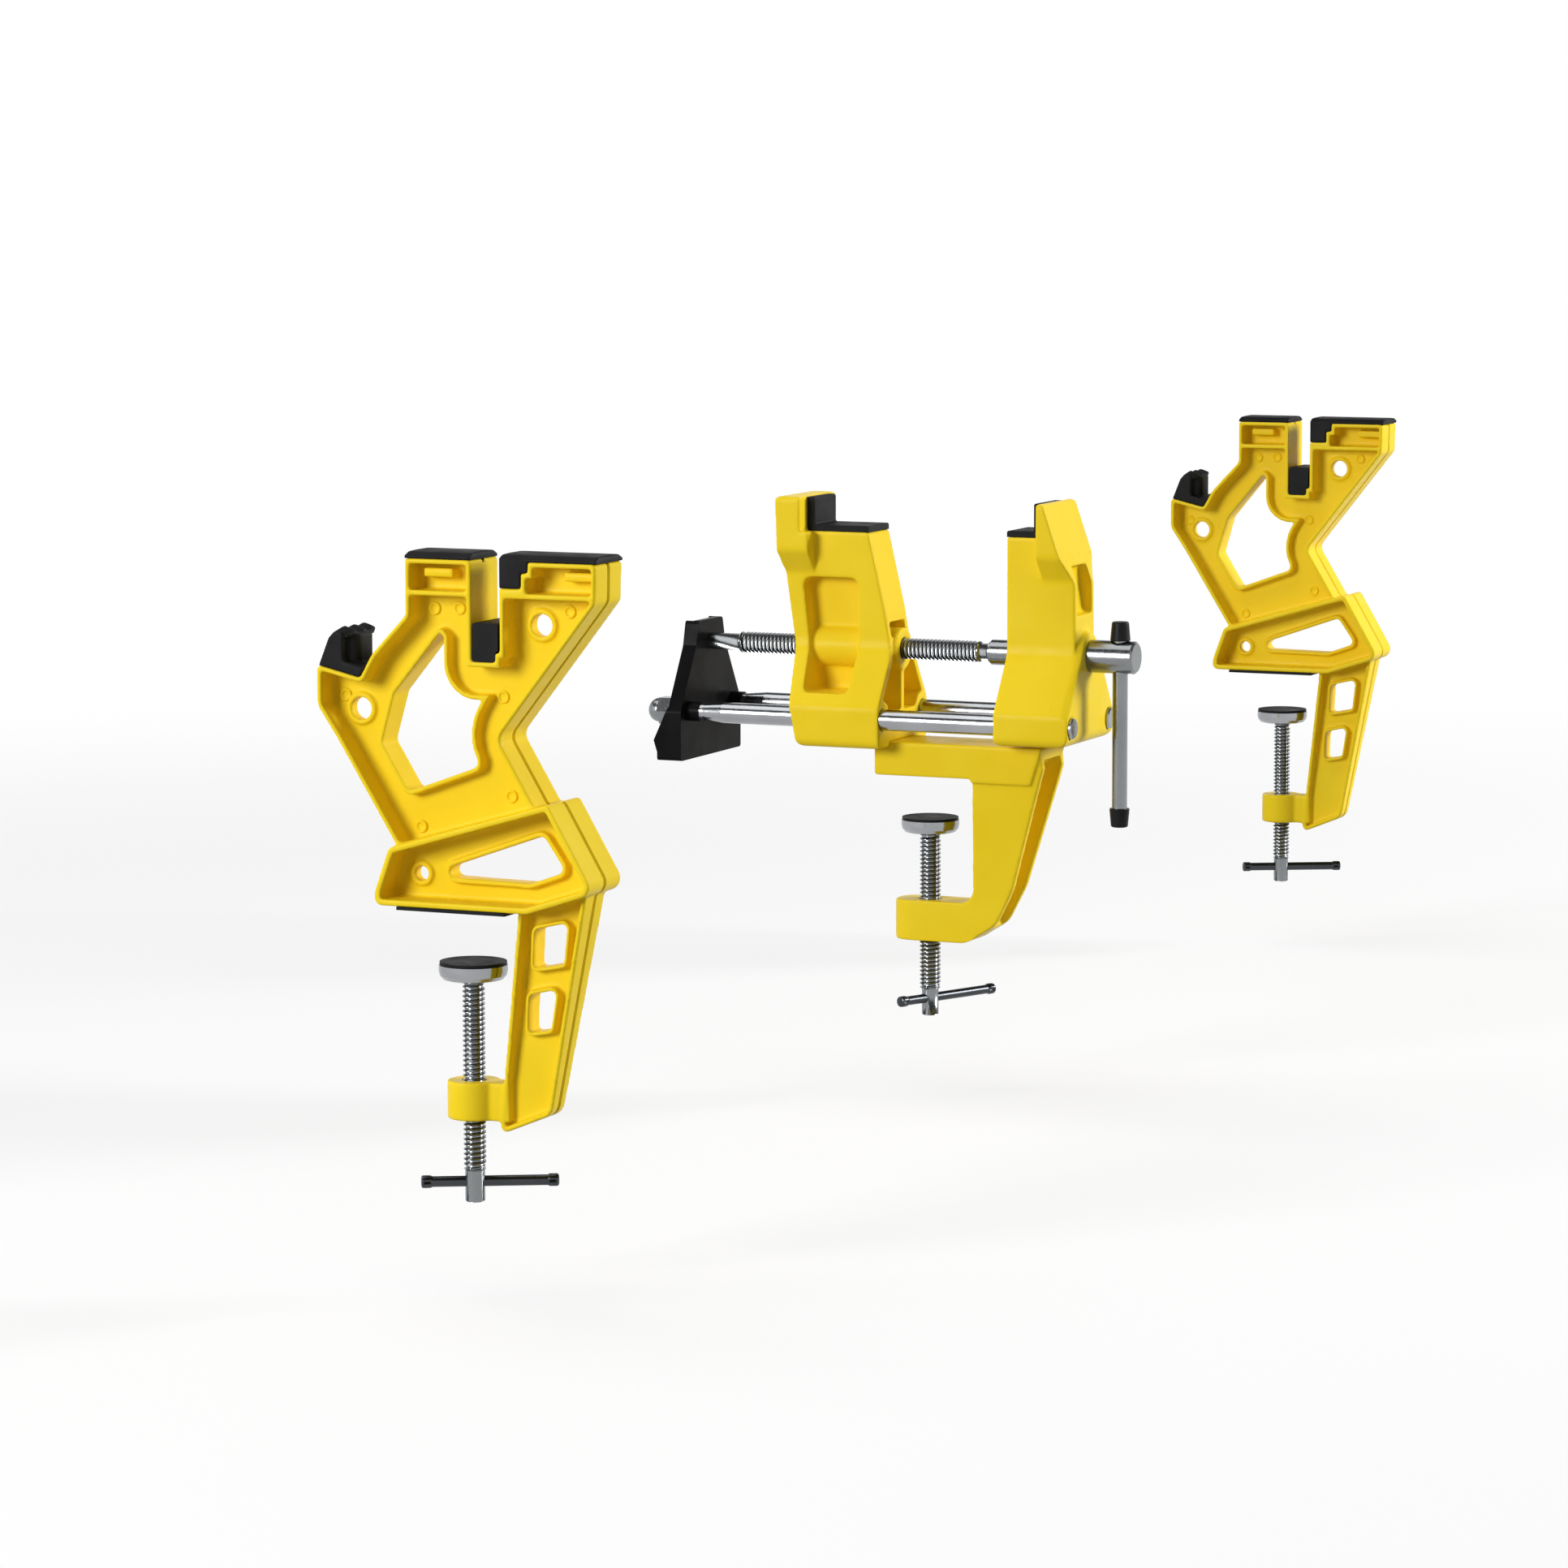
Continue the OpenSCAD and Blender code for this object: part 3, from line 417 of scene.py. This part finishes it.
def bell_front(mesh):
    """Narrows the raised lower part of the front jaw's face to a bell with a ring round the screw."""
    co = points(mesh)
    x, y, z = np.abs(co[:, 0]) / MM, co[:, 1] / MM + EDGE_Y, co[:, 2] / MM
    neck = SPINDLE_Z + 3
    width = np.interp(z, [BELL_LOW[0], neck], [BELL_LOW[1], RING_R])
    inside = np.where(z < neck, width - x, -9)
    inside = np.maximum(inside, RING_R - np.hypot(x, z - SPINDLE_Z))
    raised = smooth_step(inside / BELL_EDGE + 0.5)
    was = np.interp(z, *zip(*FACE_STEP))
    goal = FACE_Y - RAISE * raised
    near = smooth_step((-45 - y) / 4)
    co[:, 1] += (goal - was) * np.where(z < SPINDLE_Z + 14, near, 0) * MM
    set_points(mesh, co)


ARM_LOW = -80.0                # z of the arm's lower face
HEEL = (5.0, ARM_LOW)          # (y, z) where the arm's lower face would meet the heel's slope
HEEL_FRONT = (-10.4, -70.5)    # a point of that slope
HEEL_END = (-12, -69)          # the slope is straightened as far as this
TURN_R = 14.0                  # radius between the two


def round_heel(mesh):
    """Rounds the frame's lower front corner, where the leg turns into the arm."""
    co = points(mesh)
    y, z = co[:, 1] / MM + EDGE_Y, co[:, 2] / MM
    corner = np.array(HEEL)
    along = corner - np.array(HEEL_FRONT)
    along /= np.linalg.norm(along)
    inward = np.array((-along[1], along[0]))
    centre = np.array((corner[0] + TURN_R * (1 - inward[1]) / inward[0], ARM_LOW + TURN_R))
    from_line = (y - corner[0]) * inward[0] + (z - ARM_LOW) * inward[1]
    from_centre = np.hypot(y - centre[0], z - centre[1])
    in_arc = (y > centre[0] - TURN_R * inward[0]) & (y < centre[0]) & (z < centre[1])
    out_arc = in_arc & (from_centre > TURN_R)
    pull = np.where(out_arc, TURN_R / from_centre, 1)
    new_y = centre[0] + (y - centre[0]) * pull
    new_z = centre[1] + (z - centre[1]) * pull
    on_slope = (y < centre[0]) & (y > HEEL_END[0]) & (z < HEEL_END[1])
    out_line = ~in_arc & on_slope & (from_line < 0)
    new_y = np.where(out_line, y - from_line * inward[0], new_y)
    new_z = np.where(out_line, z - from_line * inward[1], new_z)
    co[:, 1] = (new_y - EDGE_Y) * MM
    co[:, 2] = new_z * MM
    set_points(mesh, co)


VISE_FILLETS = {"base_frame": 0.0016, "rear_jaw": 0.002, "front_jaw": 0.003}
for node, radius in VISE_FILLETS.items():
    me = cast(node, VOXEL, EDGE_ROUNDS + 3)
    fill_corners(me, radius, FILL_ROUNDS)
    if node == "front_jaw":
        bell_front(me)
    if node == "base_frame":
        round_heel(me)
    shade(link(node + "_cast", soften(me, 2), node))


# ---------------------------------------------------------------- screws

THREAD_DEPTH = 0.85
THREAD_SECTION = [(0.0, 0), (0.30, 0), (0.46, 1), (0.78, 1), (0.94, 0)]    # (share of the pitch, height)
THREAD_SEGMENTS = 40
THREAD_EDGE = 0.00012
RUN_OUT = 0.8          # length of the thread's fading ends, in pitches


def thread_mesh(bm, r, r_root, pitch, low, high):
    """A helical ridge from low to high along Z, with its ends run out to the root."""
    prof, seg = THREAD_SECTION, THREAD_SEGMENTS
    turns = int((high - low) / pitch) + 3
    count = turns * seg + 1
    rows = []
    for k in range(count):
        a = 2 * math.pi * k / seg
        row = []
        for u, top in prof:
            z = low - pitch + pitch * (k / seg + u)
            ease = max(0.0, min(1.0, (z - low) / (pitch * RUN_OUT), (high - z) / (pitch * RUN_OUT)))
            rr = r_root + (r - r_root) * top * ease
            z = max(low, min(high, z))
            row.append(bm.verts.new((rr * math.cos(a), rr * math.sin(a), z)))
        rows.append(row)
    n = len(prof)
    for k in range(count - 1):
        for j in range(n - 1):
            bm.faces.new((rows[k][j], rows[k + 1][j], rows[k + 1][j + 1], rows[k][j + 1]))
        if k + 1 + seg < count:
            bm.faces.new((rows[k][n - 1], rows[k + 1][n - 1], rows[k + 1 + seg][0], rows[k + seg][0]))


def cut_between(bm, axis, low, high):
    """Takes out what lies between two planes across an axis, and closes both cuts."""
    no = Vector((0, 0, 0))
    no[axis] = 1
    keep = []
    for co, sign in ((low, 1), (high, -1)):
        part = bm.copy()
        pt = Vector((0, 0, 0))
        pt[axis] = co
        geom = part.verts[:] + part.edges[:] + part.faces[:]
        bmesh.ops.bisect_plane(part, geom=geom, plane_co=pt, plane_no=no * sign, clear_outer=True)
        bmesh.ops.holes_fill(part, edges=[e for e in part.edges if e.is_boundary], sides=0)
        keep.append(part)
    out = bmesh.new()
    for part in keep:
        me = bpy.data.meshes.new("part")
        part.to_mesh(me)
        part.free()
        out.from_mesh(me)
    bm.free()
    return out


def threaded(name, node, r, low, high, axis, centre):
    """The node with a real thread in place of its plain stretch from low to high, all in mm."""
    bm = cut_between(node_bmesh(node), axis, low * MM, high * MM)
    me = bpy.data.meshes.new(name)
    t = bmesh.new()
    thread_mesh(t, r * MM, (r - THREAD_DEPTH) * MM, PITCH * MM, low * MM, high * MM)
    if axis == 1:
        lie = Matrix.Rotation(math.radians(-90), 3, "X")
        bmesh.ops.rotate(t, verts=t.verts, cent=(0, 0, 0), matrix=lie)
    shift = [c * MM for c in centre]
    shift[axis] = 0
    bmesh.ops.translate(t, verts=t.verts, vec=shift)
    tm = bpy.data.meshes.new("t")
    t.to_mesh(tm)
    t.free()
    bm.from_mesh(tm)
    bm.normal_update()
    bm.to_mesh(me)
    bm.free()
    o = link(name, me, node)
    shade(o, 40)
    b = o.modifiers.new("b", "BEVEL")
    b.width = THREAD_EDGE
    b.segments = 2
    b.limit_method = "ANGLE"
    b.angle_limit = math.radians(32)


END_SCREW_Y = 24.4 - EDGE_Y
BOARD_T, DISC_PAD_T, DISC_H = 21, 1.3, 6.4
DISC_LOW = -BOARD_T - DISC_PAD_T - DISC_H
PLAIN = 12.8           # plain lower end of a clamp screw
CLAMPS = (             # name, (x, y), screw radius and length, bar's length, offset and turn in degrees
    ("left", (LEFT_X, END_SCREW_Y), 4.5, 89.9, 55.4, -6, 28.2),
    ("right", (RIGHT_X, END_SCREW_Y), 4.5, 89.9, 55.4, -6, 28.2),
    ("centre", (0, 0), 5.0, 88.3, 62, -11, 65.7),
)
MAIN_THREAD = (1.8 - EDGE_Y, 125.3 - EDGE_Y)
for name, (cx, cy), r, length, *_ in CLAMPS:
    threaded(name + "_clamp_thread", name + "_clamp_spindle", r,
             DISC_LOW - length + PLAIN + 0.7, DISC_LOW - 1.2, 2, (cx, cy, 0))
threaded("main_thread", "main_spindle", 5.0, *MAIN_THREAD, 1, (0, 0, SPINDLE_Z))


# ---------------------------------------------------------------- cross bars and hook rubbers

BAR_R = 2.2
BAR_HEAD = 4.6         # length of a bar's upset end
BAR_SEGMENTS = 48
CRIMP = 0.75           # depth of the dents


def cross_bar_mesh(length):
    """A bar along Y whose ends are upset and crimped from four sides, so that it can't slide out."""
    head = BAR_HEAD
    half = length / 2
    prof = [(-half, BAR_R - 0.35, 0), (-half + 0.35, BAR_R + 0.25, 0), (-half + 0.9, BAR_R + 0.45, 0.4),
            (-half + 1.4, BAR_R + 0.45, 1), (-half + head - 1.2, BAR_R + 0.45, 1),
            (-half + head - 0.5, BAR_R + 0.3, 0.3), (-half + head, BAR_R, 0), (-half + head + 0.4, BAR_R, 0)]
    prof = prof + [(-a, b, c) for a, b, c in reversed(prof)]
    bm = bmesh.new()
    seg = BAR_SEGMENTS
    rows = []
    for y, r, crimp in prof:
        row = []
        for k in range(seg):
            a = 2 * math.pi * k / seg
            dent = max(0.0, math.cos(4 * a)) ** 3
            rr = r - CRIMP * crimp * dent
            row.append(bm.verts.new((rr * math.cos(a) * MM, y * MM, rr * math.sin(a) * MM)))
        rows.append(row)
    for one, two in zip(rows, rows[1:]):
        for k in range(seg):
            bm.faces.new((one[k], two[k], two[(k + 1) % seg], one[(k + 1) % seg]))
    bm.faces.new(rows[0])
    bm.faces.new(list(reversed(rows[-1])))
    bmesh.ops.recalc_face_normals(bm, faces=bm.faces)
    return bm


def place_bar(node, length, off, turn, place):
    """A cross bar, slid by off in its hole and turned about the screw."""
    bm = cross_bar_mesh(length)
    bmesh.ops.translate(bm, verts=bm.verts, vec=(0, off * MM, 0))
    swing = Matrix.Rotation(math.radians(turn), 3, "Z")
    bmesh.ops.rotate(bm, verts=bm.verts, cent=(0, 0, 0), matrix=swing)
    bmesh.ops.translate(bm, verts=bm.verts, vec=[v * MM for v in place])
    me = bpy.data.meshes.new(node + "_m")
    bm.to_mesh(me)
    bm.free()
    shade(link(node + "_crimped", me, node, BAR_STEEL), 35)


CROSS_UP = 8.2         # height of the cross hole over the screw's lower end
for name, (cx, cy), r, length, bar_length, off, turn in CLAMPS:
    place_bar(name + "_clamp_bar", bar_length, off, turn, (cx, cy, DISC_LOW - length + CROSS_UP))


RIDGE_TOP = [(73.2, 109.0), (75.5, 109.9), (78.4, 110.8), (80.6, 109.5)]    # (y, z) along a ridge
RIDGE_STEP = 8.2
RIDGE_SECTION = [(3.4, -1.6), (3.7, 1.1), (2.6, 1.3), (-3.0, -0.1), (-3.0, -1.6)]    # (x, height)


def hook_ridges(cx):
    """Three saw-tooth ridges over the hook rubber's top and nose."""
    def add(bm):
        for k in (-1, 0, 1):
            x0 = cx + k * RIDGE_STEP
            rows = []
            for x, h in RIDGE_SECTION:
                rows.append([bm.verts.new(((x0 + x) * MM, (y - EDGE_Y - 0.35 * h) * MM, (z + h) * MM))
                             for y, z in RIDGE_TOP])
            n = len(rows)
            for i in range(n):
                a, b = rows[i], rows[(i + 1) % n]
                for j in range(len(RIDGE_TOP) - 1):
                    bm.faces.new((a[j], a[j + 1], b[j + 1], b[j]))
            bm.faces.new([r[0] for r in rows])
            bm.faces.new([r[-1] for r in reversed(rows)])
        bmesh.ops.recalc_face_normals(bm, faces=bm.faces)
    return add


for side, cx in SUPPORTS:
    node = side + "_hook_rubber"
    me = cast(node, RUBBER_VOXEL, 5, hook_ridges(cx))
    shade(link(node + "_ridged", me, node))


# ---------------------------------------------------------------- the rest

CROWN_DROP = 0.0011
CROWN_DEPTH = 0.003    # how far down from the top a pad changes


def crown(name):
    """A top pad whose upper face falls away toward its long edges."""
    me = cast(name, RUBBER_VOXEL, 3)
    co = points(me)
    mid = (co[:, 0].max() + co[:, 0].min()) / 2
    half = (co[:, 0].max() - co[:, 0].min()) / 2
    top = co[:, 2].max()
    side = smooth_step((np.abs(co[:, 0] - mid) / half - 0.72) / 0.28)
    up = np.clip((co[:, 2] - (top - CROWN_DEPTH)) / CROWN_DEPTH, 0, 1)
    co[:, 2] -= side * up * CROWN_DROP
    set_points(me, co)
    shade(link(name + "_crowned", me, name))


for side in SIDES:
    crown(side + "_front_pad")
    crown(side + "_rear_pad")

# Edge widths of the nodes that stay, in mm
BEVEL = {
    "black_rubber": 0.5, "cap_plastic": 0.5, "zinc_steel": 0.25, "chrome_steel": 0.3, "black_sheet": 0.5,
}
replaced = {side + part for side in SIDES for part in (
    "_casting", "_clamp_spindle", "_clamp_bar", "_hook_rubber", "_front_pad", "_rear_pad")}
replaced |= {
    "base_frame", "rear_jaw", "front_jaw", "centre_clamp_spindle", "centre_clamp_bar", "main_spindle"}
for name, o in nodes.items():
    if name in replaced:
        continue
    dress(o, SLOT_MATERIAL[SLOT_OF[name]])
    shade(o, 30)
    b = o.modifiers.new("edge", "BEVEL")
    b.width = BEVEL[SLOT_OF[name]] * MM
    b.segments = 3
    b.limit_method = "ANGLE"
    b.angle_limit = math.radians(35)
    b.harden_normals = False


# ---------------------------------------------------------------- floor, light, camera

def math_node(tree, operation, a, b):
    n = tree.nodes.new("ShaderNodeMath")
    n.operation = operation
    for socket, v in zip(n.inputs, (a, b)):
        if isinstance(v, (int, float)):
            socket.default_value = v
        else:
            tree.links.new(v, socket)
    return n.outputs[0]


def seen(tree):
    """1 where the camera or a mirror image sees the background, 0 for the light that it throws."""
    p = tree.nodes.new("ShaderNodeLightPath").outputs
    direct = math_node(tree, "MAXIMUM", p["Is Camera Ray"], p["Is Glossy Ray"])
    return math_node(tree, "MAXIMUM", direct, p["Is Transmission Ray"])


def floor_material():
    m = bpy.data.materials.new("Floor")
    m.use_nodes = True
    t = m.node_tree
    t.nodes.clear()
    out = t.nodes.new("ShaderNodeOutputMaterial")
    grey = t.nodes.new("ShaderNodeBsdfDiffuse")
    grey.inputs["Color"].default_value = (0.30, 0.30, 0.30, 1)
    pale = t.nodes.new("ShaderNodeBsdfDiffuse")
    pale.inputs["Color"].default_value = (0.95, 0.95, 0.95, 1)
    white = t.nodes.new("ShaderNodeEmission")
    place = t.nodes.new("ShaderNodeTexCoord")
    dist = t.nodes.new("ShaderNodeVectorMath")
    dist.operation = "LENGTH"
    t.links.new(place.outputs["Object"], dist.inputs[0])
    fade = t.nodes.new("ShaderNodeMapRange")
    # The floor takes shadows near the object, and fades into the white background round it
    for name, v in (("From Min", 0.7), ("From Max", 1.9), ("To Min", 0.5), ("To Max", 1.0)):
        fade.inputs[name].default_value = v
    fade.interpolation_type = "SMOOTHSTEP"
    t.links.new(dist.outputs["Value"], fade.inputs["Value"])
    near = t.nodes.new("ShaderNodeMixShader")
    t.links.new(fade.outputs[0], near.inputs[0])
    t.links.new(pale.outputs[0], near.inputs[1])
    t.links.new(white.outputs[0], near.inputs[2])
    both = t.nodes.new("ShaderNodeMixShader")
    t.links.new(seen(t), both.inputs[0])
    t.links.new(grey.outputs[0], both.inputs[1])
    t.links.new(near.outputs[0], both.inputs[2])
    t.links.new(both.outputs[0], out.inputs["Surface"])
    return m


# The floor lies lower than the clamps reach at their lower limits
CLAMP_DROP = max(-j["range_m"][0] for j in frame["record"]["behaviour"]["joints"]
                 if j["name"].endswith("clamp_lift"))
FLOOR_HALF = 14
floor_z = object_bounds()[0][2] - CLAMP_DROP - 0.001
bm = bmesh.new()
bmesh.ops.create_grid(bm, x_segments=1, y_segments=1, size=FLOOR_HALF)
me = bpy.data.meshes.new("floor")
bm.to_mesh(me)
bm.free()
floor = bpy.data.objects.new("floor", me)
floor.location = (0, 0, floor_z)
scene.collection.objects.link(floor)
dress(floor, floor_material())

world = bpy.data.worlds.new("Studio")
scene.world = world
world.use_nodes = True
t = world.node_tree
t.nodes.clear()
out = t.nodes.new("ShaderNodeOutputWorld")
env = t.nodes.new("ShaderNodeBackground")
env.inputs["Color"].default_value = (0.97, 0.98, 1.0, 1)
env.inputs["Strength"].default_value = 0.20
white = t.nodes.new("ShaderNodeBackground")
white.inputs["Color"].default_value = (1, 1, 1, 1)
# The studio's ceiling is darker than its walls
way = t.nodes.new("ShaderNodeTexCoord")
height = t.nodes.new("ShaderNodeSeparateXYZ")
t.links.new(way.outputs["Generated"], height.inputs["Vector"])
ceiling = t.nodes.new("ShaderNodeMapRange")
for name, v in (("From Min", 0.34), ("From Max", 0.62), ("To Min", 1.0), ("To Max", 0.10)):
    ceiling.inputs[name].default_value = v
ceiling.interpolation_type = "SMOOTHSTEP"
t.links.new(height.outputs["Z"], ceiling.inputs["Value"])
t.links.new(ceiling.outputs[0], white.inputs["Strength"])
mix = t.nodes.new("ShaderNodeMixShader")
t.links.new(seen(t), mix.inputs["Fac"])
t.links.new(env.outputs[0], mix.inputs[1])
t.links.new(white.outputs[0], mix.inputs[2])
t.links.new(mix.outputs[0], out.inputs["Surface"])


def area(name, place, target, size, power):
    light = bpy.data.lights.new(name, "AREA")
    light.shape = "RECTANGLE"
    light.size, light.size_y = size
    light.energy = power
    o = bpy.data.objects.new(name, light)
    o.location = place
    o.rotation_euler = (Vector(target) - Vector(place)).to_track_quat("-Z", "Y").to_euler()
    scene.collection.objects.link(o)


area("key", (1.75, -2.75, 1.2), (0.0, 0.0, 0.02), (1.4, 1.2), 118)
area("fill", (-3.0, 1.25, 0.9), (0.0, 0.0, 0.0), (1.1, 1.1), 72)
area("top", (-0.3, 0.9, 2.6), (0.0, 0.0, 0.0), (2.0, 2.0), 26)

# The camera that the photograph was taken with, angles in radians and place in metres
YAW, PIT, ROLL = 0.415346, 0.122595, -0.001992
CAMERA_PLACE = (-2.46055, -1.00852, 0.32230)
LENS = 128.4814
forward = Vector((math.cos(YAW) * math.cos(PIT), math.sin(YAW) * math.cos(PIT), -math.sin(PIT)))
right = Vector((math.sin(YAW), -math.cos(YAW), 0))
up = right.cross(forward)
right, up = (right * math.cos(ROLL) + up * math.sin(ROLL), up * math.cos(ROLL) - right * math.sin(ROLL))
cam = bpy.data.cameras.new("camera")
cam.lens = LENS
cam.sensor_width = 36
cam.sensor_fit = "HORIZONTAL"
cam.clip_end = 60
cam_obj = bpy.data.objects.new("camera", cam)
mat = Matrix((right, up, -forward)).transposed().to_4x4()
mat.translation = Vector(CAMERA_PLACE)
cam_obj.matrix_world = mat
scene.collection.objects.link(cam_obj)
scene.camera = cam_obj
scene.view_settings.view_transform = "Standard"
